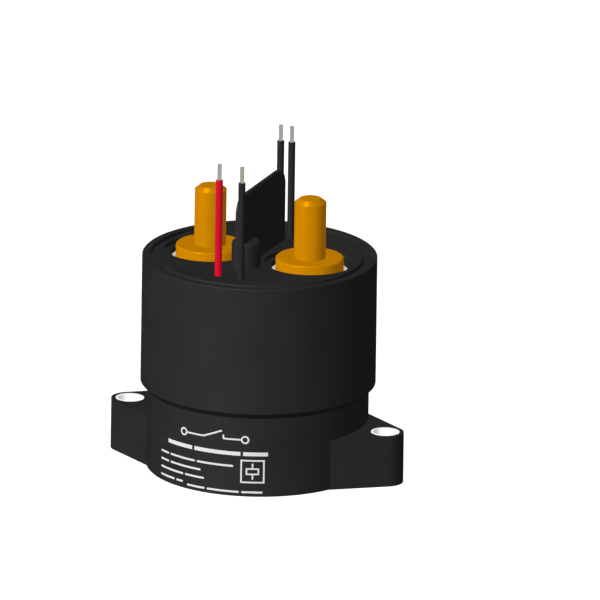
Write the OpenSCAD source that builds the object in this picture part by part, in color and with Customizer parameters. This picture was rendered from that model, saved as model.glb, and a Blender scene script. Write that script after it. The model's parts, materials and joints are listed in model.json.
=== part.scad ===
// Sealed high voltage dc contactor with two stud terminals, a round body and two mounting ears.
// Millimetres. The origin is the centre of the mounting face, +Z is up, +X runs through both studs
// and both ears, and the coil leads are on the -Y side.

/* [Terminals] */
// Spacing of the two studs
terminal_pitch = 27; // [25:0.1:32]
// Diameter of a stud
stud_d = 8; // [6:0.1:10]
// Height of a stud above its flange
stud_h = 15.35; // [8:0.05:24]
// Width of the bevel round the top of a stud
stud_bevel = 1.2; // [0.4:0.1:1.8]
// Height of that bevel
stud_bevel_h = 1; // [0.4:0.1:1.8]
// Diameter of a terminal's flange
flange_d = 17.1; // [14:0.1:19]
// Thickness of a terminal's flange
flange_t = 3.7; // [2.8:0.05:6]
// Diameter of a terminal's barrel in the contact chamber
barrel_d = 12; // [9:0.1:13]
// Depth of a terminal's contact face below the chamber's top
contact_depth = 6; // [5:0.1:7]

/* [Cover] */
// Thickness of the cover
cover_t = 2.3; // [1.8:0.1:3.2]
// Gap between a terminal's flange and the well round it
well_gap = 1.15; // [0.6:0.05:1.9]
// Width of the step round the top of a well
well_step = 1.6; // [0.4:0.1:2]
// Depth of that step
well_step_h = 1.1; // [0.3:0.1:1.4]
// Width of the groove between the cover and the rim
groove_w = 1.55; // [0.6:0.05:2]
// Depth of that groove
groove_h = 1; // [0.4:0.1:1.4]
// Thickness of the barrier between the terminals
barrier_t = 1.5; // [1:0.1:3]
// Width of the barrier
barrier_w = 29.6; // [24:0.1:34]
// Height of the barrier above the rim
barrier_h = 19.1; // [10:0.1:30]
// Radius of the barrier's two upper corners
barrier_corner_r = 4.6; // [1:0.1:8]
// Diameter of the boss over the exhaust tube
boss_d = 7.4; // [6:0.1:9]
// Height of the boss above the rim
boss_h = 6.45; // [3.5:0.05:9]
// Radius of the boss's upper edge
boss_edge_r = 0.7; // [0.3:0.1:1.4]
// Distance of the boss from the body's axis
boss_y = 9.05; // [8:0.05:11]

/* [Housing] */
// Height of the rim above the mounting face
body_h = 54.9; // [51:0.1:70]
// Height of the joint between the base and the upper housing
base_h = 20.6; // [15:0.1:26]
// Wall of the upper housing
shell_wall = 3.3; // [2.7:0.1:5]
// Wall of the rim round the cover
rim_wall = 1.9; // [1.2:0.1:2.4]
// Bevel on the lower edge of the upper housing
shell_bevel = 1.6; // [0.5:0.1:2.4]
// Step in from the side of the upper housing to the side of the base
base_setback = 1.7; // [1:0.1:3]
// Thickness of the base's floor
floor_t = 2; // [1.4:0.1:3.5]
// Wall of the base's spigot, which the upper housing slips over
spigot_wall = 2; // [1.4:0.1:3]
// Height of the spigot
spigot_h = 4.4; // [2:0.1:7]

/* [Mounting ears] */
// Spacing of the two mounting holes
hole_pitch = 69.1; // [67:0.1:84]
// Height of the ears
ear_h = 13; // [6:0.1:15]
// Wall of an ear round its bush
ear_wall = 1.1; // [0.6:0.1:3]
// Step in from the side of the base to the circle that the flanks of the ears aim at
ear_inset = 3.4; // [0:0.1:8]
// Outer diameter of a bush
bush_od = 7.2; // [6.6:0.1:9]
// Bore of a bush
bush_id = 6; // [4:0.1:6.2]

/* [Leads] */
// Diameter of a lead over its insulation
lead_d = 1.8; // [1.4:0.1:2.4]
// Diameter of a lead's conductor
lead_core_d = 1.1; // [0.6:0.1:1.2]
// Insulated length of a lead above the rim
lead_h = 25.1; // [25.1:0.1:80]
// Stripped length at the end of a lead
strip_h = 4.1; // [2:0.1:8]
// Spacing of the two coil leads
coil_lead_pitch = 6.1; // [4.5:0.1:7.5]
// Distance of the coil leads from the front edge of the barrier
coil_lead_gap = 5.4; // [3:0.1:7]
// Spacing of the two auxiliary leads
aux_lead_pitch = 3; // [2.8:0.1:8]
// Distance of the auxiliary leads from the rear edge of the barrier
aux_lead_gap = 1.95; // [1.8:0.05:6]

/* [Contact chamber] */
// Height of the ceramic chamber
chamber_h = 15; // [14:0.1:17]
// Wall of the ceramic chamber
chamber_wall = 2.4; // [1.6:0.1:3.2]
// Thickness of the ceramic chamber's top
chamber_top_t = 3.5; // [2.4:0.1:3.8]
// Ceramic left round the well in the cover
chamber_land = 2.1; // [1:0.1:3]
// Height of the ring that joins the chamber to the yoke plate
ring_h = 3.3; // [2.6:0.1:4.5]
// Wall of that ring
ring_wall = 1.2; // [0.8:0.1:1.8]
// Thickness of the arc plate on the chamber's floor
arc_plate_t = 1; // [0.6:0.1:1.4]
// Diameter of the exhaust tube
exhaust_d = 3; // [2:0.1:3.6]
// Thickness of the movable contact
bridge_t = 3; // [2:0.1:3.6]
// Width of the movable contact
bridge_w = 11; // [8:0.1:14]
// Length of the movable contact past the centre of each terminal
bridge_end = 4.5; // [3:0.1:6]
// Open gap between the contacts
contact_gap = 1.85; // [1.2:0.05:2.1]
// Travel of the armature after the contacts meet
overtravel = 0.6; // [0.3:0.05:0.9]
// Length of the contact spring
contact_spring_h = 4.65; // [3.6:0.05:5]

/* [Magnet system] */
// Diameter of the shaft
shaft_d = 4; // [3:0.1:4.6]
// Diameter of the armature
armature_d = 15.8; // [14:0.1:20]
// Length of the fixed core below the yoke plate
core_l = 11.55; // [9:0.05:14]
// Depth of the return spring's seat in the fixed core
core_pocket_h = 5.95; // [3:0.05:7]
// Depth of the return spring's seat in the armature
armature_pocket_h = 4; // [2:0.1:6]
// Wall of the tube that guides the armature
core_tube_wall = 0.4; // [0.3:0.1:0.8]
// Thickness of the damper pad under the armature
pad_t = 1; // [0.6:0.1:2]
// Thickness of the yoke plate
plate_t = 3; // [2:0.1:4]
// Wall of the yoke cup
yoke_wall = 2; // [1.4:0.1:3]
// Wall of the coil bobbin
bobbin_wall = 1; // [0.7:0.1:1.6]
// Thickness of a blow-out magnet
magnet_t = 3.5; // [2:0.1:4]
// Width of a blow-out magnet
magnet_w = 20; // [12:0.5:22]
// Height of a blow-out magnet
magnet_h = 9.5; // [6:0.1:11]
// Thickness of a flux plate behind a magnet
flux_t = 1.5; // [1:0.1:2]
// Thickness of a circuit board
board_t = 1.2; // [0.8:0.1:1.6]

/* [Hidden] */
$fn = 96;

// Overlap of cutting tools past the faces that they cut
cut = 1;

// Clearances
press = 0.02;
slip = 0.1;
run = 0.08;
seat_gap = 0.05;
armature_gap = 0.2;
hub_gap = 0.2;
tab_gap = 0.2;
lead_gap = 0.2;
exhaust_gap = 0.2;
chamber_gap = 0.83;
plate_gap = 0.4;
yoke_gap = 0.5;
bobbin_gap = 0.4;
winding_gap = 0.8;
magnet_gap = 0.3;
board_gap = 0.4;
exhaust_land = 0.25;

// Small edges
edge = 0.3;
base_edge = 0.2;
rim_edge = 0.15;

// Terminals and chamber, outward from the studs
stud_r = stud_d / 2;
flange_r = flange_d / 2;
barrel_r = barrel_d / 2;
terminal_x = terminal_pitch / 2;
well_r = flange_r + well_gap;
well_rim_r = well_r + well_step;
chamber_corner_r = well_r + chamber_land;
chamber_x = terminal_x + chamber_corner_r;
chamber_y = boss_y + exhaust_d / 2 + exhaust_land + chamber_wall;
chamber_corner_y = chamber_y - chamber_corner_r;
chamber_reach = norm([terminal_x, chamber_corner_y]) + chamber_corner_r;

// Housing, outward from the chamber
shell_in_r = chamber_reach + chamber_gap;
shell_r = shell_in_r + shell_wall;
rim_in_r = shell_r - rim_wall;
cover_r = rim_in_r - slip;
cover_top_r = rim_in_r - groove_w;
base_r = shell_r - base_setback;
spigot_r = shell_in_r - slip;
base_in_r = spigot_r - spigot_wall;

// Ears
hole_x = hole_pitch / 2;
bush_r = bush_od / 2;
ear_end_r = bush_r + ear_wall;
ear_flank_r = base_r - ear_inset;
ear_flank_angle = acos((ear_flank_r - ear_end_r) / hole_x);

// Hollow in the boss for the exhaust tube
boss_roof = 1.8;
boss_roof_z = body_h + boss_h - boss_roof;
exhaust_head = 1;
exhaust_wall = 0.75;
exhaust_top = boss_roof_z - exhaust_head;

// Magnet system, inward from the base and outward from the armature
core_tube_flange_w = 2;
core_neck_step = 1;
pad_margin = 1;
shaft_r = shaft_d / 2;
armature_r = armature_d / 2;
core_tube_in_r = armature_r + armature_gap;
core_tube_r = core_tube_in_r + core_tube_wall;
core_tube_flange_r = core_tube_r + core_tube_flange_w;
core_r = core_tube_in_r - slip;
core_neck_r = core_r - core_neck_step;
hub_in_r = core_tube_r + hub_gap;
hub_r = hub_in_r + bobbin_wall;
yoke_r = base_in_r - yoke_gap;
yoke_in_r = yoke_r - yoke_wall;
bobbin_r = yoke_in_r - bobbin_gap;
winding_r = bobbin_r - winding_gap;
plate_r = shell_in_r - plate_gap;

// Heights, down from the rim
cover_z = body_h - cover_t;
chamber_top = cover_z - slip;
chamber_z = chamber_top - chamber_h;
plate_top = chamber_z - ring_h;
plate_z = plate_top - plate_t;
core_z = plate_z - core_l;
armature_top = core_z - contact_gap - overtravel;
contact_z = chamber_top - contact_depth;
bridge_top = contact_z - contact_gap;
bridge_z = bridge_top - bridge_t;
shaft_seat_top = bridge_z - contact_spring_h;

// Heights, up from the base's floor
core_tube_z = floor_t + core_tube_wall;
pad_z = core_tube_z + core_tube_wall;
armature_z = pad_z + pad_t;
bobbin_z = floor_t + yoke_wall + slip;
bobbin_top = plate_z - core_tube_wall - slip;

// Shaft, its spring seat and the clip that holds the movable contact
shaft_lift = 1.2;
shaft_seat_r = 4.5;
shaft_seat_t = 1;
clip_r = 3.6;
clip_t = 0.75;
clip_groove_depth = 0.4;
clip_z = bridge_top + seat_gap;
shaft_end = 0.6;
shaft_top = clip_z + clip_t + shaft_end;

// Springs
return_wire_r = 0.45;
return_spring_gap = 0.65;
return_mean_r = shaft_r + return_wire_r + return_spring_gap;
return_turns = 7;
contact_wire_r = 0.5;
contact_spring_gap = 0.7;
contact_mean_r = shaft_r + contact_wire_r + contact_spring_gap;
contact_turns = 2.5;
spring_pocket_r = return_mean_r + return_wire_r + return_spring_gap;
closed_from_turns = 4;
closed_pitch_ratio = 2.1;
spring_sides = 8;
spring_steps = 16;

// Coil terminals on the bobbin's front tab
tab_x = 8;
tab_h = 2.7;
tab_y = sqrt(pow(base_in_r - magnet_gap, 2) - pow(tab_x, 2));
pin_r = 0.4;
pin_x = 6;
pin_y = tab_y - 2 * pin_r;
pin_depth = 2.2;
notch_side = 1;
notch_back = 2;

// Iron left on each side of a magnet
flux_side = 1;

// Circuit boards behind and in front of the chamber
board_drop = 2.8;
board_top = chamber_top - board_drop;
board_z = board_top - board_t;
board_r = shell_in_r - board_gap;
board_in_y = chamber_y + board_gap;
part_gap = 2;
rim_gap = 1;
solder_h = 0.5;
transistor_size = [6.5, 6, 2.2];
diode_size = [4.6, 2.6, 2];
capacitor_size = [3.2, 2.5, 1.6];
reed_glass_r = 0.9;
reed_glass_l = 11;
reed_wire_r = 0.25;

// Leads
lead_r = lead_d / 2;
lead_core_r = lead_core_d / 2;
lead_z = board_top + lead_gap;
lead_core_z = board_z + lead_gap;
coil_lead_x = coil_lead_pitch / 2;
coil_lead_y = -(barrier_w / 2 + coil_lead_gap);
aux_lead_x = aux_lead_pitch / 2;
aux_lead_y = barrier_w / 2 + aux_lead_gap;

// Colours
black_plastic = [0.15, 0.15, 0.15];
copper = [0.81, 0.53, 0.01];
ceramic_white = [0.93, 0.92, 0.88];
bright_metal = [0.88, 0.88, 0.86];
steel = [0.62, 0.63, 0.65];
magnet_grey = [0.3, 0.31, 0.33];
board_green = [0.1, 0.36, 0.2];
lead_red_colour = [0.77, 0.09, 0.18];
lead_black_colour = [0.13, 0.13, 0.13];
tinned_copper = [0.71, 0.72, 0.67];
rubber_grey = [0.2, 0.2, 0.2];
bobbin_cream = [0.82, 0.8, 0.72];
wire_copper = [0.72, 0.4, 0.2];
component_black = [0.12, 0.12, 0.13];
capacitor_tan = [0.6, 0.52, 0.4];
reed_green = [0.6, 0.75, 0.7];

// Round bar on the axis, from height z0 to z1
module bar(r, z0, z1) {
    translate([0, 0, z0])
        cylinder(r = r, h = z1 - z0);
}

// Tube on the axis, from height z0 to z1
module pipe(r0, r1, z0, z1) {
    difference() {
        bar(r1, z0, z1);
        bar(r0, z0 - cut, z1 + cut);
    }
}

// Block on the XY plane's centre, from height z0 to z1
module block(size_x, size_y, z0, z1) {
    translate([-size_x / 2, -size_y / 2, z0])
        cube([size_x, size_y, z1 - z0]);
}

// Upright prism on the chamber's outline, taken in by a margin
module chamber_prism(margin, z0, z1) {
    corner_r = chamber_corner_r - margin;
    translate([0, 0, z0])
        linear_extrude(z1 - z0) {
            square([2 * terminal_x, 2 * (chamber_y - margin)], center = true);
            square([2 * (chamber_x - margin), 2 * chamber_corner_y], center = true);
            for (side = [-1, 1], front = [-1, 1])
                translate([side * terminal_x, front * chamber_corner_y])
                    circle(corner_r);
        }
}

// Height of a spring's wire above its seat after some turns, with one closed turn at each end
function spring_rise(turn, turns, wire_r, h) =
    let (closed = turns > closed_from_turns ? 1 : 0)
    let (closed_pitch = closed_pitch_ratio * wire_r)
    let (open_pitch = (h - 2 * wire_r - 2 * closed * closed_pitch) / (turns - 2 * closed))
    wire_r + closed_pitch * min(turn, closed) + open_pitch * max(0, min(turn, turns - closed) - closed)
        + closed_pitch * max(0, turn - (turns - closed));

// Point on the surface of a spring's wire
function spring_point(turn, side, mean_r, turns, wire_r, h) =
    let (out = mean_r + wire_r * cos(360 * side / spring_sides))
    [out * cos(360 * turn), out * sin(360 * turn),
        spring_rise(turn, turns, wire_r, h) + wire_r * sin(360 * side / spring_sides)];

// Coil spring that stands on height z0 and is h high
module coil_spring(mean_r, wire_r, turns, z0, h) {
    rings = round(turns * spring_steps);
    points = [for (ring = [0:rings], side = [0:spring_sides - 1])
        spring_point(ring / spring_steps, side, mean_r, turns, wire_r, h)];
    walls = [for (ring = [0:rings - 1], side = [0:spring_sides - 1])
        let (next = (side + 1) % spring_sides)
        let (low = ring * spring_sides)
        [low + side, low + next, low + spring_sides + next, low + spring_sides + side]];
    first_cap = [for (side = [0:spring_sides - 1]) spring_sides - 1 - side];
    last_cap = [for (side = [0:spring_sides - 1]) rings * spring_sides + side];
    translate([0, 0, z0])
        polyhedron(points = points, faces = concat(walls, [first_cap], [last_cap]), convexity = 6);
}

// Upper housing: a tube with a rim round the cover and a ledge that carries the cover
module upper_housing() {
    color(black_plastic)
        rotate_extrude()
            polygon([
                [shell_in_r, base_h],
                [shell_r - shell_bevel, base_h],
                [shell_r, base_h + shell_bevel],
                [shell_r, body_h - rim_edge],
                [shell_r - rim_edge, body_h],
                [rim_in_r, body_h],
                [rim_in_r, cover_z],
                [shell_in_r, cover_z]
            ]);
}

// Barrier plate seen from the side, with two round upper corners
module barrier_outline() {
    top = body_h + barrier_h;
    corner_y = barrier_w / 2 - barrier_corner_r;
    translate([-barrier_w / 2, cover_z])
        square([barrier_w, top - barrier_corner_r - cover_z]);
    translate([-corner_y, cover_z])
        square([2 * corner_y, top - cover_z]);
    for (side = [-1, 1])
        translate([side * corner_y, top - barrier_corner_r])
            circle(barrier_corner_r);
}

// Barrier plate with its long edges broken
module barrier() {
    top = body_h + barrier_h;
    intersection() {
        translate([-barrier_t / 2, 0, 0])
            rotate([90, 0, 90])
                linear_extrude(barrier_t)
                    barrier_outline();
        translate([0, barrier_w, 0])
            rotate([90, 0, 0])
                linear_extrude(2 * barrier_w)
                    polygon([
                        [-barrier_t / 2, cover_z],
                        [barrier_t / 2, cover_z],
                        [barrier_t / 2, top - edge],
                        [barrier_t / 2 - edge, top],
                        [-barrier_t / 2 + edge, top],
                        [-barrier_t / 2, top - edge]
                    ]);
    }
}

// Boss with a rounded upper edge
module boss() {
    top = body_h + boss_h;
    translate([0, -boss_y, 0])
        rotate_extrude() {
            translate([0, cover_z])
                square([boss_d / 2, top - boss_edge_r - cover_z]);
            translate([0, cover_z])
                square([boss_d / 2 - boss_edge_r, top - cover_z]);
            translate([boss_d / 2 - boss_edge_r, top - boss_edge_r])
                intersection() {
                    circle(boss_edge_r);
                    square(boss_edge_r);
                }
        }
}

// Cover: a stepped disc with a well for each terminal, the barrier, the boss and the lead holes
module top_cover() {
    color(black_plastic)
        difference() {
            union() {
                rotate_extrude()
                    polygon([
                        [0, cover_z],
                        [cover_r, cover_z],
                        [cover_r, body_h - groove_h],
                        [cover_top_r, body_h - groove_h],
                        [cover_top_r, body_h - rim_edge],
                        [cover_top_r - rim_edge, body_h],
                        [0, body_h]
                    ]);
                barrier();
                boss();
            }
            for (side = [-1, 1])
                translate([side * terminal_x, 0, 0]) {
                    bar(well_r, cover_z - cut, body_h + cut);
                    bar(well_rim_r, body_h - well_step_h, body_h + cut);
                }
            translate([0, -boss_y, 0])
                bar(exhaust_d / 2 + exhaust_gap, cover_z - cut, boss_roof_z);
            for (side = [-1, 1]) {
                translate([side * coil_lead_x, coil_lead_y, 0])
                    bar(lead_r + seat_gap, cover_z - cut, body_h + cut);
                translate([side * aux_lead_x, aux_lead_y, 0])
                    bar(lead_r + seat_gap, cover_z - cut, body_h + cut);
            }
        }
}

// One mounting ear on the +X side, with straight flanks that run tangent to its round end
module ear() {
    normal = [cos(ear_flank_angle), sin(ear_flank_angle)];
    root = ear_flank_r * normal;
    end = [hole_x, 0] + ear_end_r * normal;
    linear_extrude(ear_h)
        polygon([[0, -root[1]], [root[0], -root[1]], [end[0], -end[1]], end, root, [0, root[1]]]);
    translate([hole_x, 0, 0])
        cylinder(r = ear_end_r, h = ear_h);
}

// Base: a cup with a spigot for the upper housing and two ears
module base_housing() {
    color(black_plastic)
        difference() {
            union() {
                rotate_extrude()
                    polygon([
                        [0, 0],
                        [base_r - base_edge, 0],
                        [base_r, base_edge],
                        [base_r, base_h],
                        [spigot_r, base_h],
                        [spigot_r, base_h + spigot_h - edge],
                        [spigot_r - edge, base_h + spigot_h],
                        [0, base_h + spigot_h]
                    ]);
                ear();
                mirror([1, 0, 0])
                    ear();
            }
            bar(base_in_r, floor_t, base_h + spigot_h + cut);
            for (side = [-1, 1])
                translate([side * hole_x, 0, 0])
                    bar(bush_r + press, -cut, ear_h + cut);
        }
}

// Bush pressed into an ear
module bush(side) {
    color(bright_metal)
        translate([side * hole_x, 0, 0])
            pipe(bush_id / 2, bush_r, 0, ear_h);
}

// Terminal: stud, flange on the chamber and barrel with the fixed contact face, turned in one piece
module terminal(side) {
    flange_top = chamber_top + flange_t;
    stud_top = flange_top + stud_h;
    color(copper)
        translate([side * terminal_x, 0, 0])
            rotate_extrude()
                polygon([
                    [0, contact_z],
                    [barrel_r - edge, contact_z],
                    [barrel_r, contact_z + edge],
                    [barrel_r, chamber_top],
                    [flange_r, chamber_top],
                    [flange_r, flange_top - edge],
                    [flange_r - edge, flange_top],
                    [stud_r, flange_top],
                    [stud_r, stud_top - stud_bevel_h],
                    [stud_r - stud_bevel, stud_top],
                    [0, stud_top]
                ]);
}

// Ceramic chamber: a cup turned over, with a hole for each terminal and one for the exhaust tube
module ceramic_chamber() {
    color(ceramic_white)
        difference() {
            chamber_prism(0, chamber_z, chamber_top);
            chamber_prism(chamber_wall, chamber_z - cut, chamber_top - chamber_top_t);
            for (side = [-1, 1])
                translate([side * terminal_x, 0, 0])
                    bar(barrel_r + slip, chamber_z, chamber_top + cut);
            translate([0, -boss_y, 0])
                bar(exhaust_d / 2 + seat_gap, chamber_z, chamber_top + cut);
        }
}

// Metal ring between the ceramic chamber and the yoke plate
module weld_ring() {
    margin = (chamber_wall - ring_wall) / 2;
    color(bright_metal)
        difference() {
            chamber_prism(margin, plate_top, chamber_z);
            chamber_prism(margin + ring_wall, plate_top - cut, chamber_z + cut);
        }
}

// Insulating plate on the chamber's floor, with a hole for the shaft
module arc_plate() {
    margin = (chamber_wall + ring_wall) / 2 + slip;
    color(ceramic_white)
        difference() {
            chamber_prism(margin, plate_top, plate_top + arc_plate_t);
            bar(shaft_r + run, plate_top - cut, plate_top + arc_plate_t + cut);
        }
}

// Tube through which the chamber is filled with gas and then pinched shut
module exhaust_tube() {
    exhaust_r = exhaust_d / 2;
    tube_z = chamber_top - chamber_top_t;
    color(copper)
        translate([0, -boss_y, 0])
            difference() {
                bar(exhaust_r, tube_z, exhaust_top);
                bar(exhaust_r - exhaust_wall, tube_z - cut, exhaust_top - exhaust_r);
            }
}

// Movable contact: a bar with round ends that bridges the two terminals
module movable_contact() {
    end_x = terminal_x + bridge_end - bridge_w / 2;
    color(copper)
        difference() {
            union() {
                block(2 * end_x, bridge_w, bridge_z, bridge_top);
                for (side = [-1, 1])
                    translate([side * end_x, 0, 0])
                        bar(bridge_w / 2, bridge_z, bridge_top);
            }
            bar(shaft_r + run, bridge_z - cut, bridge_top + cut);
        }
}

// Spring that presses the movable contact on the terminals
module contact_spring() {
    color(steel)
        coil_spring(contact_mean_r, contact_wire_r, contact_turns, shaft_seat_top, contact_spring_h);
}

// Clip in the shaft's groove that the movable contact rests against
module retaining_clip() {
    groove_r = shaft_r - clip_groove_depth;
    color(steel)
        difference() {
            bar(clip_r, clip_z, clip_z + clip_t);
            bar(groove_r + press, clip_z - cut, clip_z + clip_t + cut);
            translate([0, clip_r, clip_z - cut])
                block(2 * groove_r, 2 * clip_r, 0, clip_t + 2 * cut);
        }
}

// Shaft with a seat for the contact spring and a groove for the clip
module shaft() {
    groove_r = shaft_r - clip_groove_depth;
    shaft_z = armature_z + shaft_lift;
    color(steel)
        rotate_extrude()
            polygon([
                [0, shaft_z],
                [shaft_r, shaft_z],
                [shaft_r, shaft_seat_top - shaft_seat_t],
                [shaft_seat_r, shaft_seat_top - shaft_seat_t],
                [shaft_seat_r, shaft_seat_top],
                [shaft_r, shaft_seat_top],
                [shaft_r, clip_z - press],
                [groove_r, clip_z - press],
                [groove_r, clip_z + clip_t + press],
                [shaft_r, clip_z + clip_t + press],
                [shaft_r, shaft_top - edge],
                [shaft_r - edge, shaft_top],
                [0, shaft_top]
            ]);
}

// Armature that the coil pulls up to the fixed core
module armature() {
    color(steel)
        difference() {
            bar(armature_r, armature_z, armature_top);
            bar(shaft_r + press, armature_z + shaft_lift, armature_top + cut);
            bar(spring_pocket_r, armature_top - armature_pocket_h, armature_top + cut);
        }
}

// Spring that pushes the armature down when the coil is off
module return_spring() {
    spring_z = armature_top - armature_pocket_h;
    color(steel)
        coil_spring(return_mean_r, return_wire_r, return_turns, spring_z, core_z + core_pocket_h - spring_z);
}

// Fixed core, riveted through the yoke plate
module fixed_core() {
    color(steel)
        difference() {
            union() {
                bar(core_r, core_z, plate_z);
                bar(core_neck_r, core_z, plate_top);
            }
            bar(shaft_r + run, core_z - cut, plate_top + cut);
            bar(spring_pocket_r, core_z - cut, core_z + core_pocket_h);
        }
}

// Closed tube round the armature and the fixed core
module core_tube() {
    color(bright_metal)
        difference() {
            union() {
                bar(core_tube_r, core_tube_z, plate_z);
                bar(core_tube_flange_r, plate_z - core_tube_wall, plate_z);
            }
            bar(core_tube_in_r, pad_z, plate_z + cut);
        }
}

// Soft pad that the armature lands on
module damper_pad() {
    color(rubber_grey)
        bar(armature_r - pad_margin, pad_z, armature_z);
}

// Iron cup round the coil, open at the front for the coil's terminals
module yoke_cup() {
    slot_x = tab_x + tab_gap;
    color(steel)
        difference() {
            bar(yoke_r, floor_t, plate_z);
            bar(yoke_in_r, floor_t + yoke_wall, plate_z + cut);
            bar(core_tube_r + slip, floor_t - cut, plate_z);
            translate([0, -yoke_r, bobbin_top - tab_h - tab_gap])
                block(2 * slot_x, yoke_r, 0, plate_z);
        }
}

// Iron plate on the cup, with a notch at the front for the coil's terminals
module yoke_plate() {
    notch_x = tab_x + notch_side;
    notch_y = pin_y - notch_back;
    color(steel)
        difference() {
            bar(plate_r, plate_z, plate_top);
            bar(core_neck_r + seat_gap, plate_z - cut, plate_top + cut);
            translate([0, -notch_y - plate_r / 2, plate_z - cut])
                block(2 * notch_x, plate_r, 0, plate_t + 2 * cut);
        }
}

// Bobbin with a tab at the front that holds the coil's terminals
module coil_bobbin() {
    color(bobbin_cream)
        difference() {
            union() {
                bar(hub_r, bobbin_z, bobbin_top);
                bar(bobbin_r, bobbin_z, bobbin_z + bobbin_wall);
                bar(bobbin_r, bobbin_top - bobbin_wall, bobbin_top);
                translate([0, -(winding_r + tab_y) / 2, 0])
                    block(2 * tab_x, tab_y - winding_r, bobbin_top - tab_h, bobbin_top);
            }
            bar(hub_in_r, bobbin_z - cut, bobbin_top + cut);
            for (side = [-1, 1])
                translate([side * pin_x, -pin_y, 0])
                    bar(pin_r + press, bobbin_top - pin_depth, bobbin_top + cut);
        }
}

// Copper wire wound on the bobbin
module coil_winding() {
    color(wire_copper)
        pipe(hub_r + press, winding_r - seat_gap, bobbin_z + bobbin_wall + seat_gap,
            bobbin_top - bobbin_wall - seat_gap);
}

// Pin from the bobbin's tab up through the control board
module coil_pin(side) {
    color(tinned_copper)
        translate([side * pin_x, -pin_y, 0])
            bar(pin_r, bobbin_top - pin_depth, board_top + solder_h);
}

// Magnet beside the chamber that drives the arc outward
module magnet(front) {
    color(magnet_grey)
        translate([0, front * (chamber_y + magnet_gap + magnet_t / 2), 0])
            block(magnet_w, magnet_t, board_z - magnet_h, board_z);
}

// Iron plate behind a magnet, which stands on the yoke plate and carries a board
module flux_plate(front) {
    color(steel)
        translate([0, front * (chamber_y + magnet_gap + magnet_t + flux_t / 2), 0])
            block(magnet_w + 2 * flux_side, flux_t, plate_top, board_z);
}

// Circuit board beside the chamber, a segment of a circle
module board_blank(front) {
    intersection() {
        bar(board_r, board_z, board_top);
        translate([0, front * (board_in_y + board_r / 2), 0])
            block(2 * board_r, board_r, board_z, board_top);
    }
}

// Board that drives the coil
module control_board() {
    color(board_green)
        difference() {
            board_blank(-1);
            for (side = [-1, 1]) {
                translate([side * coil_lead_x, coil_lead_y, 0])
                    bar(lead_core_r + press, board_z - cut, board_top + cut);
                translate([side * pin_x, -pin_y, 0])
                    bar(pin_r + press, board_z - cut, board_top + cut);
            }
        }
}

// Part on the control board beside a coil pin, with its outer corner near the board's rim
module board_part(size, side) {
    end_x = pin_x + part_gap + size[0];
    end_y = sqrt(pow(board_r - rim_gap, 2) - pow(end_x, 2));
    translate([side * (end_x - size[0] / 2), -end_y + size[1] / 2, 0])
        block(size[0], size[1], board_top, board_top + size[2]);
}

// Transistor that switches the coil's current
module drive_transistor() {
    color(component_black)
        board_part(transistor_size, 1);
}

// Diode across the coil
module drive_diode() {
    color(component_black)
        board_part(diode_size, -1);
}

// Capacitor that smooths the coil's supply
module smoothing_capacitor() {
    color(capacitor_tan)
        translate([0, coil_lead_y + lead_r + part_gap / 2 + capacitor_size[1] / 2, 0])
            block(capacitor_size[0], capacitor_size[1], board_top, board_top + capacitor_size[2]);
}

// Board that carries the auxiliary contact
module aux_board() {
    color(board_green)
        difference() {
            board_blank(1);
            for (side = [-1, 1])
                translate([side * aux_lead_x, aux_lead_y, 0])
                    bar(lead_core_r + press, board_z - cut, board_top + cut);
        }
}

// Reed switch of the auxiliary contact: a glass tube on two bent wires
module reed_switch() {
    leg_x = reed_glass_l / 2 + part_gap / 2;
    reed_y = aux_lead_y + lead_r + part_gap;
    reed_z = board_top + reed_glass_r + slip;
    color(reed_green)
        translate([0, reed_y, 0]) {
            translate([-reed_glass_l / 2, 0, reed_z])
                rotate([0, 90, 0])
                    cylinder(r = reed_glass_r, h = reed_glass_l);
            translate([-leg_x, 0, reed_z])
                rotate([0, 90, 0])
                    cylinder(r = reed_wire_r, h = 2 * leg_x);
            for (side = [-1, 1])
                translate([side * leg_x, 0, 0])
                    block(2 * reed_wire_r, 2 * reed_wire_r, board_top, reed_z + reed_wire_r);
        }
}

// Insulation of a lead, from its board up through the cover
module lead(x, y, colour) {
    color(colour)
        translate([x, y, 0])
            pipe(lead_core_r + press, lead_r, lead_z, body_h + lead_h);
}

// Conductor of a lead, soldered into its board and stripped at the end
module lead_core(x, y) {
    color(tinned_copper)
        translate([x, y, 0])
            bar(lead_core_r, lead_core_z, body_h + lead_h + strip_h);
}

upper_housing();
top_cover();
base_housing();
bush(-1);  // bush_left
bush(1);  // bush_right
terminal(-1);  // terminal_left
terminal(1);  // terminal_right
ceramic_chamber();
weld_ring();
arc_plate();
exhaust_tube();
movable_contact();
contact_spring();
retaining_clip();
shaft();
armature();
return_spring();
fixed_core();
core_tube();
damper_pad();
yoke_cup();
yoke_plate();
coil_bobbin();
coil_winding();
coil_pin(-1);  // coil_pin_left
coil_pin(1);  // coil_pin_right
magnet(-1);  // magnet_front
magnet(1);  // magnet_back
flux_plate(-1);  // flux_plate_front
flux_plate(1);  // flux_plate_back
control_board();
drive_transistor();
drive_diode();
smoothing_capacitor();
aux_board();
reed_switch();
lead(-coil_lead_x, coil_lead_y, lead_red_colour);  // red_lead
lead_core(-coil_lead_x, coil_lead_y);  // red_lead_core
lead(coil_lead_x, coil_lead_y, lead_black_colour);  // black_lead
lead_core(coil_lead_x, coil_lead_y);  // black_lead_core
lead(-aux_lead_x, aux_lead_y, lead_black_colour);  // aux_lead_left
lead_core(-aux_lead_x, aux_lead_y);  // aux_lead_left_core
lead(aux_lead_x, aux_lead_y, lead_black_colour);  // aux_lead_right
lead_core(aux_lead_x, aux_lead_y);  // aux_lead_right_core
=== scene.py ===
"""Looks of a sealed high voltage dc contactor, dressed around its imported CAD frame.

Lengths are in metres, in the frame of the CAD part: +Z is up, +X runs through both studs and both
mounting ears, and the coil leads stand on the -Y side.
"""
import json
import math

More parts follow.
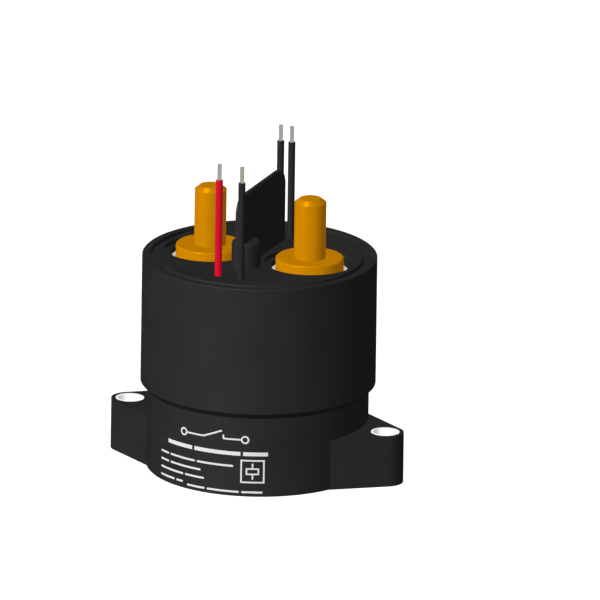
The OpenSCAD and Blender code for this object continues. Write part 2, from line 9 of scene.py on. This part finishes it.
import bmesh
import bpy
from mathutils import Matrix, Vector


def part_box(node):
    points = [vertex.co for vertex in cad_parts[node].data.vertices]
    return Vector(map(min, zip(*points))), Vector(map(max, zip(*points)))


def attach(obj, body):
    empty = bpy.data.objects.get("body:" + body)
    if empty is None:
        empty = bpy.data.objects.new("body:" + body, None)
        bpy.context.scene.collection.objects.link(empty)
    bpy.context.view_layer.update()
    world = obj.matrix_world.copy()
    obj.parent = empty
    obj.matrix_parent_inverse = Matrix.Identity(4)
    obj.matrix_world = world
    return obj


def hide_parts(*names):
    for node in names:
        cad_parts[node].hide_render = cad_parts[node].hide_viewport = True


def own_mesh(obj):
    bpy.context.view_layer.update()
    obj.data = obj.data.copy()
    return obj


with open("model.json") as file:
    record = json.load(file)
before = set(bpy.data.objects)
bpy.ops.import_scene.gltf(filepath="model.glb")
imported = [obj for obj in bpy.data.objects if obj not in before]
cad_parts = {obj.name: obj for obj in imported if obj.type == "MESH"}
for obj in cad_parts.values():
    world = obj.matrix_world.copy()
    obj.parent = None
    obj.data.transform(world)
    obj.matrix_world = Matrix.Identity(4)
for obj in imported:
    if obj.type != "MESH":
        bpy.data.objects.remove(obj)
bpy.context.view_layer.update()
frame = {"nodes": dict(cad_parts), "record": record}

MM = 0.001
X_AXIS = Vector((1, 0, 0))
Y_AXIS = Vector((0, 1, 0))
Z_AXIS = Vector((0, 0, 1))

# View of the photograph, which is a parallel projection
VIEW_AZIMUTH = math.radians(21.923)
VIEW_ELEVATION = math.radians(17.398)
VIEW_ROLL = math.radians(0.801)
VIEW_WIDTH = 150.376 * MM
VIEW_AIM = Vector((7.017, 9.965, 41.142)) * MM
VIEW_DISTANCE = 0.5
VIEW_NEAR = 0.01
VIEW_FAR = 10

# Floor and white surround
FLOOR_SIZE = 6.0
FLOOR_COLOUR = (0.5, 0.5, 0.49)
FLOOR_GLOW = 0.62
TENT_COLOUR = (1.0, 1.0, 0.985, 1)

# Light: even fill from all round, a broad key light from the front left, two lights from behind, and a
# gleam from above that only shows on glossy edges
FILL_STRENGTH = 0.628
FILL_SIDES = 5
FILL_ELEVATION = math.atan(0.5)
KEY_STRENGTH = 3.7
KEY_AZIMUTH = math.radians(-18)
KEY_ELEVATION = math.radians(34.2)
BACK_STRENGTH = 1.6
BACK_AZIMUTH = math.radians(200)
BACK_ELEVATION = math.radians(5)
REAR_STRENGTH = 2.2
GLEAM_STRENGTH = 0.6
GLEAM_AZIMUTH = math.radians(-61)
GLEAM_ELEVATION = math.radians(71)
LIGHT_SPREAD = math.radians(12)

# Leads
STRAND_LAYERS = 2
STRANDS_ADDED = 6
STRAND_LAY = 12 * MM
STRAND_SIDES = 8
STRAND_STEP = 0.5 * MM
STRAND_SMOOTH = math.radians(60)
LEAD_SIDES = 48
LEAD_EDGE = 0.08 * MM
LEAD_SMOOTH = math.radians(30)

# Springs
RETURN_WIRE_R = 0.45 * MM
RETURN_TURNS = 7
CONTACT_WIRE_R = 0.5 * MM
CONTACT_TURNS = 2.5
CLOSED_PITCH = 2.1
SPRING_STEPS = 40
SPRING_SIDES = 12
SPRING_SMOOTH = math.radians(50)

# Print on the front of the base, in distances round its wall from the front and heights
PRINT_LIFT = 0.02 * MM
PRINT_SINK = 0.04 * MM
PRINT_STEP = 0.6 * MM
PRINT_LEFT = -18.1 * MM
WORD_GAP = 0.7 * MM
DIAL_SIDES = 28

# Materials
BLACK = (0.0142, 0.0142, 0.0142)
COAT_WEIGHT = 0.06
COAT_ROUGHNESS = 0.25
WIRE_PITCH = 0.35 * MM
NOISE_LOW = 0.3
NOISE_HIGH = 0.7


def view_axes(azimuth, elevation, roll):
    """Right, up and back directions of a camera or light that looks at the object from there."""
    back = Vector((math.sin(azimuth) * math.cos(elevation),
                   -math.cos(azimuth) * math.cos(elevation),
                   math.sin(elevation)))
    level = Vector((math.cos(azimuth), math.sin(azimuth), 0))
    upright = back.cross(level)
    right = math.cos(roll) * level + math.sin(roll) * upright
    up = math.cos(roll) * upright - math.sin(roll) * level
    return right, up, back


def place_along(obj, right, up, back, location):
    """Turns an object so that its own X, Y and Z run along three directions."""
    turn = Matrix((right, up, back)).transposed().to_4x4()
    obj.matrix_world = Matrix.Translation(location) @ turn


def add_camera():
    """A camera without perspective at the photograph's viewing angle."""
    data = bpy.data.cameras.new("camera")
    data.type = "ORTHO"
    data.ortho_scale = VIEW_WIDTH
    data.clip_start = VIEW_NEAR
    data.clip_end = VIEW_FAR
    camera = bpy.data.objects.new("camera", data)
    bpy.context.scene.collection.objects.link(camera)
    right, up, back = view_axes(VIEW_AZIMUTH, VIEW_ELEVATION, VIEW_ROLL)
    place_along(camera, right, up, back, VIEW_AIM + back * VIEW_DISTANCE)
    bpy.context.scene.camera = camera


def add_mesh(name, bm, smooth_angle=None):
    """Turns a bmesh into an object, with smooth shading between faces that meet below an angle."""
    bmesh.ops.recalc_face_normals(bm, faces=bm.faces)
    mesh = bpy.data.meshes.new(name)
    bm.to_mesh(mesh)
    bm.free()
    if smooth_angle is not None:
        mesh.shade_smooth()
        mesh.set_sharp_from_angle(angle=smooth_angle)
    obj = bpy.data.objects.new(name, mesh)
    bpy.context.scene.collection.objects.link(obj)
    return obj


def add_rings(bm, rings, closed=False):
    """Skins a list of rings of points, each ring a closed loop, with flat ends unless it is closed."""
    loops = [[bm.verts.new(point) for point in ring] for ring in rings]
    pairs = list(zip(loops, loops[1:]))
    if closed:
        pairs.append((loops[-1], loops[0]))
    for low, high in pairs:
        for i in range(len(low)):
            j = (i + 1) % len(low)
            bm.faces.new((low[i], low[j], high[j], high[i]))
    if not closed:
        bm.faces.new(loops[0])
        bm.faces.new(loops[-1])


def spoke(turn):
    """The level direction that points outward after some turns round an upright axis."""
    return Vector((math.cos(2 * math.pi * turn), math.sin(2 * math.pi * turn), 0))


def ring_of_points(middle, radius, across, up, sides):
    """Points round a circle in the plane of two directions."""
    turns = [2 * math.pi * i / sides for i in range(sides)]
    return [middle + radius * (math.cos(turn) * across + math.sin(turn) * up) for turn in turns]


def turned_ring(bm, profile, centre, sides):
    """Turns a closed profile of (radius, height) points about an upright axis."""
    rings = [
        ring_of_points(Vector((centre.x, centre.y, height)), radius, X_AXIS, Y_AXIS, sides)
        for radius, height in profile
    ]
    add_rings(bm, rings, closed=True)


def add_lead(name):
    """Insulation of one lead as a tube with a broken edge at its cut end."""
    low, high = map(Vector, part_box(name))
    core_low, core_high = map(Vector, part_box(name + "_core"))
    centre = (low + high) / 2
    radius = (high.x - low.x) / 2
    core_radius = (core_high.x - core_low.x) / 2
    profile = [
        (core_radius, low.z),
        (radius, low.z),
        (radius, high.z - LEAD_EDGE),
        (radius - LEAD_EDGE, high.z),
        (core_radius, high.z),
    ]
    bm = bmesh.new()
    turned_ring(bm, profile, centre, LEAD_SIDES)
    lead = add_mesh(name + "_insulation", bm, LEAD_SMOOTH)
    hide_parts(name)
    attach(lead, "housing")

    core = add_strands(name + "_core", centre, core_radius, core_low.z, core_high.z)
    return lead, core


def add_strands(node, centre, radius, bottom, top):
    """Twisted strands of a lead's conductor, one in the middle and layers round it."""
    strand_radius = radius / (2 * STRAND_LAYERS + 1)
    bm = bmesh.new()
    for layer in range(STRAND_LAYERS + 1):
        count = max(1, STRANDS_ADDED * layer)
        for strand in range(count):
            add_strand(bm, centre, 2 * layer * strand_radius, strand / count, strand_radius, bottom, top)
    core = add_mesh(node + "_strands", bm, STRAND_SMOOTH)
    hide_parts(node)
    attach(core, "housing")
    return core


def add_strand(bm, centre, offset, start_turn, strand_radius, bottom, top):
    """One strand, which winds round the middle of its conductor at some distance."""
    steps = math.ceil((top - bottom) / STRAND_STEP)
    rings = []
    for step in range(steps + 1):
        rise = (top - bottom) * step / steps
        middle = Vector((centre.x, centre.y, bottom + rise)) + offset * spoke(start_turn + rise / STRAND_LAY)
        rings.append(ring_of_points(middle, strand_radius, X_AXIS, Y_AXIS, STRAND_SIDES))
    add_rings(bm, rings)


def spring_rise(turn, turns, closed, wire_radius, height):
    """Height of a spring's wire above its foot after some turns, with closed turns at both ends."""
    closed_pitch = CLOSED_PITCH * wire_radius
    open_pitch = (height - 2 * wire_radius - 2 * closed * closed_pitch) / (turns - 2 * closed)
    closed_turns = min(turn, closed) + max(0, turn - turns + closed)
    return wire_radius + closed_pitch * closed_turns + open_pitch * (turn - closed_turns)


def add_spring(node, body, wire_radius, turns, closed):
    """A coil spring of round wire in the place of its solid."""
    low, high = map(Vector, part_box(node))
    centre = (low + high) / 2
    mean_radius = (high.x - low.x) / 2 - wire_radius
    rings = []
    for step in range(round(turns * SPRING_STEPS) + 1):
        turn = step / SPRING_STEPS
        outward = spoke(turn)
        middle = Vector((centre.x, centre.y, low.z)) + mean_radius * outward
        middle.z += spring_rise(turn, turns, closed, wire_radius, high.z - low.z)
        rings.append(ring_of_points(middle, wire_radius, outward, Z_AXIS, SPRING_SIDES))
    bm = bmesh.new()
    add_rings(bm, rings)
    spring = add_mesh(node + "_wire", bm, SPRING_SMOOTH)
    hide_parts(node)
    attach(spring, body)
    return spring


def give_way(spring):
    """Gives a spring a mesh of its own."""
    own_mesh(spring)


class WallPrint:
    """Print on a round upright wall, drawn with strokes on the wall rolled out flat."""

    def __init__(self, wall_radius):
        self.wall_radius = wall_radius
        self.bm = bmesh.new()

    def section(self, middle, side):
        """The four corners of a stroke's section, half a width to each side of its middle."""
        outline = ((-side, -PRINT_SINK), (-side, PRINT_LIFT), (side, PRINT_LIFT), (side, -PRINT_SINK))
        corners = []
        for across, depth in outline:
            around, height = middle + across
            angle = around / self.wall_radius
            radius = self.wall_radius + depth
            corners.append((radius * math.sin(angle), -radius * math.cos(angle), height))
        return corners

    def stroke(self, start, end, width):
        """A straight stroke between two points."""
        start, end = Vector(start), Vector(end)
        along = (end - start).normalized()
        side = Vector((-along.y, along.x)) * width / 2
        steps = max(1, math.ceil((end - start).length / PRINT_STEP))
        add_rings(self.bm, [self.section(start.lerp(end, i / steps), side) for i in range(steps + 1)])

    def box(self, left, right, bottom, top, width):
        """The outline of a rectangle, with strokes that reach its outer corners."""
        half = width / 2
        for height in (bottom + half, top - half):
            self.stroke((left, height), (right, height), width)
        for around in (left + half, right - half):
            self.stroke((around, bottom + width), (around, top - width), width)

    def circle(self, centre, radius, width):
        """The outline of a circle."""
        rings = []
        for i in range(DIAL_SIDES):
            outward = spoke(i / DIAL_SIDES).xy
            rings.append(self.section(Vector(centre) + radius * outward, outward * width / 2))
        add_rings(self.bm, rings, closed=True)

    def row(self, left, right, height, width, words):
        """A row of dashes as long as words of so many letters."""
        letter = (right - left - WORD_GAP * (len(words) - 1)) / sum(words)
        around = left
        for word in words:
            self.stroke((around, height), (around + word * letter, height), width)
            around += word * letter + WORD_GAP


def add_print(materials):
    """The symbols of an open contact and a coil, and rows of plain dashes, in white ink."""
    low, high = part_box("base_housing")
    ink = WallPrint((high[1] - low[1]) / 2)
    print_contact(ink)
    print_coil(ink)
    print_rows(ink)
    obj = add_mesh("base_print", ink.bm)
    obj.data.materials.append(materials["print_ink"])
    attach(obj, "housing")


def print_contact(ink):
    """Two terminals with an open contact between them."""
    line = 0.42 * MM
    left, right = -9.4 * MM, 7.6 * MM
    height, lift = 14.9 * MM, 2.0 * MM
    terminal_r = 0.85 * MM
    hinge, stop = -3.4 * MM, 2.0 * MM
    for around in (left, right):
        ink.circle((around, height), terminal_r, line)
    ink.stroke((left + terminal_r, height), (hinge, height), line)
    ink.stroke((hinge, height), (stop - line, height + lift), line)
    ink.stroke((stop, height), (right - terminal_r, height), line)
    ink.stroke((stop, height), (stop, height + lift / 2), line)


def print_coil(ink):
    """A coil with its two leads, in a frame."""
    line = 0.4 * MM
    left, right = 6.5 * MM, 12.6 * MM
    bottom, top = 3.6 * MM, 9.7 * MM
    coil_w, coil_h = 3.4 * MM, 1.8 * MM
    lead_reach = 2.1 * MM
    middle, height = (left + right) / 2, (bottom + top) / 2
    ink.box(left, right, bottom, top, line)
    ink.box(middle - coil_w / 2, middle + coil_w / 2, height - coil_h / 2, height + coil_h / 2, line)
    for side in (-1, 1):
        ink.stroke((middle, height + side * coil_h / 2), (middle, height + side * lead_reach), line)


def print_rows(ink):
    """One bold row, four fine rows on the left and one along the bottom."""
    bold, fine = 1.0 * MM, 0.5 * MM
    bold_left, bold_right, bold_height = PRINT_LEFT + 3 * MM, 13.4 * MM, 11.2 * MM
    ink.row(bold_left, bold_right, bold_height, bold, words=(4, 6, 3))

    first_height, pitch = 7.9 * MM, 2.05 * MM
    ends_and_words = (
        (4.6 * MM, (2, 5, 6)),
        (-4.2 * MM, (2, 6)),
        (-3.2 * MM, (6, 4)),
        (-9.6 * MM, (5, 2)),
    )
    for i, (right, words) in enumerate(ends_and_words):
        ink.row(PRINT_LEFT, right, first_height - i * pitch, fine, words)

    low_left, low_right, low_height = -8.2 * MM, 12.1 * MM, 1.2 * MM
    ink.row(low_left, low_right, low_height, fine, words=(5, 8, 5))


class Surface:
    """A procedural material, with textures in the part's own coordinates."""

    def __init__(self, name, colour, roughness, metallic=0.0, specular=0.5):
        self.material = bpy.data.materials.new(name)
        self.material.use_nodes = True
        self.material.diffuse_color = (*colour, 1)
        self.nodes = self.material.node_tree.nodes
        self.links = self.material.node_tree.links
        self.shader = self.nodes["Principled BSDF"]
        self.shader.inputs["Base Color"].default_value = (*colour, 1)
        self.shader.inputs["Roughness"].default_value = roughness
        self.shader.inputs["Metallic"].default_value = metallic
        self.shader.inputs["Specular IOR Level"].default_value = specular
        self.colour = colour
        self.roughness = roughness
        self.place = self.nodes.new("ShaderNodeTexCoord").outputs["Object"]

    def feed(self, socket, value):
        """Gives a socket a number, or links it to another node's value."""
        if isinstance(value, (int, float)):
            socket.default_value = value
        else:
            self.links.new(value, socket)

    def noise(self, size, detail=3.0, place=None):
        """Noise whose blotches are about that size."""
        node = self.nodes.new("ShaderNodeTexNoise")
        node.inputs["Scale"].default_value = 1 / size
        node.inputs["Detail"].default_value = detail
        self.links.new(place or self.place, node.inputs["Vector"])
        return node.outputs["Fac"]

    def calc(self, operation, *values):
        """A sum, product or other function of values and numbers."""
        node = self.nodes.new("ShaderNodeMath")
        node.operation = operation
        for socket, value in zip(node.inputs, values):
            self.feed(socket, value)
        return node.outputs["Value"]

    def join(self, x, y, z):
        """A vector of three values."""
        node = self.nodes.new("ShaderNodeCombineXYZ")
        for socket, value in zip(node.inputs, (x, y, z)):
            self.feed(socket, value)
        return node.outputs["Vector"]

    def split(self):
        """The three coordinates of a point on the part."""
        node = self.nodes.new("ShaderNodeSeparateXYZ")
        self.links.new(self.place, node.inputs["Vector"])
        return node.outputs["X"], node.outputs["Y"], node.outputs["Z"]

    def vary_colour(self, value, darker, lighter):
        """Lets the colour vary with a value between two shares of its own brightness."""
        node = self.nodes.new("ShaderNodeMix")
        node.data_type = "RGBA"
        node.inputs["A"].default_value = (*[c * darker for c in self.colour], 1)
        node.inputs["B"].default_value = (*[min(1.0, c * lighter) for c in self.colour], 1)
        self.links.new(value, node.inputs["Factor"])
        self.links.new(node.outputs["Result"], self.shader.inputs["Base Color"])

    def vary_roughness(self, value, change):
        """Lets the roughness vary with a noise, up and down from its own level."""
        node = self.nodes.new("ShaderNodeMapRange")
        node.inputs["From Min"].default_value = NOISE_LOW
        node.inputs["From Max"].default_value = NOISE_HIGH
        node.inputs["To Min"].default_value = max(0.0, self.roughness - change)
        node.inputs["To Max"].default_value = min(1.0, self.roughness + change)
        self.links.new(value, node.inputs["Value"])
        self.links.new(node.outputs["Result"], self.shader.inputs["Roughness"])

    def bump(self, value, height, strength):
        """Raises the surface with a value, by up to that height."""
        node = self.nodes.new("ShaderNodeBump")
        node.inputs["Strength"].default_value = strength
        node.inputs["Distance"].default_value = height
        self.links.new(value, node.inputs["Height"])
        self.links.new(node.outputs["Normal"], self.shader.inputs["Normal"])


def moulded_plastic(name, colour, specular=0.23):
    """Moulded plastic with a fine spark-eroded grain."""
    surface = Surface(name, colour, roughness=0.63, specular=specular)
    grain = surface.noise(size=0.22 * MM, detail=4)
    cloud = surface.noise(size=9 * MM, detail=2)
    surface.vary_colour(cloud, darker=0.9, lighter=1.1)
    surface.vary_roughness(cloud, change=0.06)
    surface.bump(grain, height=0.012 * MM, strength=0.5)
    surface.shader.inputs["Coat Weight"].default_value = COAT_WEIGHT
    surface.shader.inputs["Coat Roughness"].default_value = COAT_ROUGHNESS
    return surface.material


def turned_metal(name, colour, roughness, metallic, specular, centre_x):
    """Metal turned on a lathe, with fine rings round each upright axis at x = +-centre_x."""
    surface = Surface(name, colour, roughness, metallic, specular)
    x, y, z = surface.split()
    from_axis = surface.calc("SUBTRACT", surface.calc("ABSOLUTE", x), centre_x)
    x_square = surface.calc("MULTIPLY", from_axis, from_axis)
    y_square = surface.calc("MULTIPLY", y, y)
    radius = surface.calc("SQRT", surface.calc("ADD", x_square, y_square))
    rings = surface.noise(size=0.18 * MM, detail=3, place=surface.join(radius, 0.0, z))
    cloud = surface.noise(size=4 * MM, detail=3)
    surface.vary_colour(cloud, darker=0.93, lighter=1.05)
    surface.vary_roughness(rings, change=0.07)
    surface.bump(rings, height=0.006 * MM, strength=0.35)
    return surface.material


def sheet_metal(name, colour, roughness, metallic=1.0):
    """Plated or bright metal with a faint cloudy finish."""
    surface = Surface(name, colour, roughness, metallic)
    cloud = surface.noise(size=2.5 * MM, detail=4)
    grain = surface.noise(size=0.15 * MM, detail=2)
    surface.vary_colour(cloud, darker=0.94, lighter=1.04)
    surface.vary_roughness(cloud, change=0.06)
    surface.bump(grain, height=0.004 * MM, strength=0.3)
    return surface.material


def plain_solid(name, colour, roughness, specular=0.5):
    """Ceramic, rubber, laminate, ink or insulation with a faint grain."""
    surface = Surface(name, colour, roughness, specular=specular)
    cloud = surface.noise(size=5 * MM, detail=3)
    grain = surface.noise(size=0.3 * MM, detail=3)
    surface.vary_colour(cloud, darker=0.95, lighter=1.04)
    surface.vary_roughness(cloud, change=0.05)
    surface.bump(grain, height=0.006 * MM, strength=0.4)
    return surface.material


def wound_wire(name, colour):
    """Enamelled wire wound in layers."""
    surface = Surface(name, colour, roughness=0.35, metallic=0.6)
    _, _, z = surface.split()
    turns = surface.calc("SINE", surface.calc("MULTIPLY", z, 2 * math.pi / WIRE_PITCH))
    cloud = surface.noise(size=3 * MM)
    surface.vary_colour(cloud, darker=0.85, lighter=1.1)
    surface.bump(turns, height=0.05 * MM, strength=0.6)
    return surface.material


def make_materials(terminal_x):
    """One material for each slot in the record, and one for the print."""
    return {
        "housing_plastic": moulded_plastic("housing_plastic", BLACK),
        "cover_plastic": moulded_plastic("cover_plastic", BLACK),
        "bush_metal": sheet_metal("bush_metal", (0.97, 0.97, 0.96), roughness=0.4, metallic=0.02),
        "terminal_copper": turned_metal("terminal_copper", (0.555, 0.214, 0.0), roughness=0.33,
                                        metallic=0.25, specular=0.0, centre_x=terminal_x),
        "contact_copper": sheet_metal("contact_copper", (0.75, 0.36, 0.15), roughness=0.35),
        "ceramic": plain_solid("ceramic", (0.53, 0.527, 0.51), roughness=0.45),
        "sealing_metal": sheet_metal("sealing_metal", (0.66, 0.66, 0.66), roughness=0.3),
        "soft_iron": sheet_metal("soft_iron", (0.52, 0.53, 0.55), roughness=0.38),
        "shaft_steel": sheet_metal("shaft_steel", (0.62, 0.63, 0.65), roughness=0.25),
        "spring_steel": sheet_metal("spring_steel", (0.48, 0.49, 0.51), roughness=0.3),
        "damper_rubber": plain_solid("damper_rubber", (0.03, 0.03, 0.03), roughness=0.8),
        "bobbin_plastic": moulded_plastic("bobbin_plastic", (0.6, 0.56, 0.45), specular=0.4),
        "winding_copper": wound_wire("winding_copper", (0.5, 0.18, 0.06)),
        "magnet_metal": sheet_metal("magnet_metal", (0.35, 0.35, 0.37), roughness=0.4),
        "board_laminate": plain_solid("board_laminate", (0.02, 0.13, 0.05), roughness=0.35),
        "component_plastic": plain_solid("component_plastic", (0.02, 0.02, 0.022), roughness=0.55),
        "capacitor_ceramic": plain_solid("capacitor_ceramic", (0.34, 0.25, 0.15), roughness=0.5),
        "reed_glass": plain_solid("reed_glass", (0.5, 0.62, 0.58), roughness=0.1),
        "lead_red": plain_solid("lead_red", (0.455, 0.0042, 0.0198), roughness=0.5, specular=0.06),
        "lead_black": plain_solid("lead_black", BLACK, roughness=0.6, specular=0.2),
        "tinned_copper": sheet_metal("tinned_copper", (0.42, 0.42, 0.375), roughness=0.4, metallic=0.3),
        "print_ink": plain_solid("print_ink", (0.55, 0.55, 0.54), roughness=0.6, specular=0.2),
    }


def dress_nodes(materials):
    """Gives each CAD node the material of its slot in the record."""
    for row in frame["record"]["subparts"]:
        obj = frame["nodes"][row["node"]]
        obj.data.materials.clear()
        obj.data.materials.append(materials[row["material_slot"]])


def add_leads(materials):
    """The two coil leads in front and the two auxiliary leads behind the barrier."""
    for name in ("red_lead", "black_lead", "aux_lead_left", "aux_lead_right"):
        slot = "lead_red" if name == "red_lead" else "lead_black"
        lead, core = add_lead(name)
        lead.data.materials.append(materials[slot])
        core.data.materials.append(materials["tinned_copper"])


def add_springs(materials):
    """The return spring, closed at its ends, and the open contact spring."""
    returning = add_spring("return_spring", "housing", RETURN_WIRE_R, RETURN_TURNS, closed=1)
    pressing = add_spring("contact_spring", "armature", CONTACT_WIRE_R, CONTACT_TURNS, closed=0)
    for spring in (returning, pressing):
        spring.data.materials.append(materials["spring_steel"])
    give_way(returning)
    give_way(pressing)


def add_floor():
    """A pale lit floor, whose light doesn't reach the object."""
    bm = bmesh.new()
    bmesh.ops.create_grid(bm, x_segments=1, y_segments=1, size=FLOOR_SIZE / 2)
    floor = add_mesh("floor", bm)
    paint = Surface("floor_paint", FLOOR_COLOUR, roughness=0.9, specular=0.1)
    paint.shader.inputs["Emission Color"].default_value = TENT_COLOUR
    paint.shader.inputs["Emission Strength"].default_value = FLOOR_GLOW
    floor.data.materials.append(paint.material)
    floor.visible_diffuse = False
    floor.visible_glossy = False


def add_tent():
    """A white surround, which sheds no light of its own."""
    world = bpy.data.worlds.new("tent")
    bpy.context.scene.world = world
    world.use_nodes = True
    sky = world.node_tree.nodes["Background"]
    sky.inputs["Color"].default_value = TENT_COLOUR
    world.cycles_visibility.diffuse = False
    world.cycles_visibility.glossy = False


def add_light(name, azimuth, elevation, strength, diffuse=True, gloss=True):
    """A broad far light without a cast shadow, which lights matt or glossy surfaces or both."""
    data = bpy.data.lights.new(name, "SUN")
    data.energy = strength
    data.angle = LIGHT_SPREAD
    data.use_shadow = False
    light = bpy.data.objects.new(name, data)
    light.visible_diffuse = diffuse
    light.visible_glossy = gloss
    bpy.context.scene.collection.objects.link(light)
    right, up, back = view_axes(azimuth, elevation, roll=0)
    place_along(light, right, up, back, VIEW_AIM + back * VIEW_DISTANCE)


def add_fill():
    """Even light from an upper and a lower ring of far lights."""
    for i in range(FILL_SIDES):
        turn = 2 * math.pi * i / FILL_SIDES
        add_light(f"fill_high_{i}", turn, FILL_ELEVATION, FILL_STRENGTH, gloss=False)
        add_light(f"fill_low_{i}", turn + math.pi, -FILL_ELEVATION, FILL_STRENGTH, gloss=False)


def add_stage():
    """Floor, surround and lights, with direct light only, as in the photograph."""
    bpy.context.scene.cycles.max_bounces = 0
    add_floor()
    add_tent()
    add_fill()
    add_light("key", KEY_AZIMUTH, KEY_ELEVATION, KEY_STRENGTH)
    add_light("gleam", GLEAM_AZIMUTH, GLEAM_ELEVATION, GLEAM_STRENGTH, diffuse=False)
    add_light("back", BACK_AZIMUTH, BACK_ELEVATION, BACK_STRENGTH, gloss=False)
    add_light("rear", VIEW_AZIMUTH + math.pi, -VIEW_ELEVATION, REAR_STRENGTH, gloss=False)


def main():
    bpy.context.scene.view_settings.view_transform = "Standard"
    add_camera()
    stud_low, stud_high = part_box("terminal_right")
    materials = make_materials((stud_low[0] + stud_high[0]) / 2)
    add_leads(materials)
    add_springs(materials)
    dress_nodes(materials)
    add_print(materials)
    add_stage()


main()
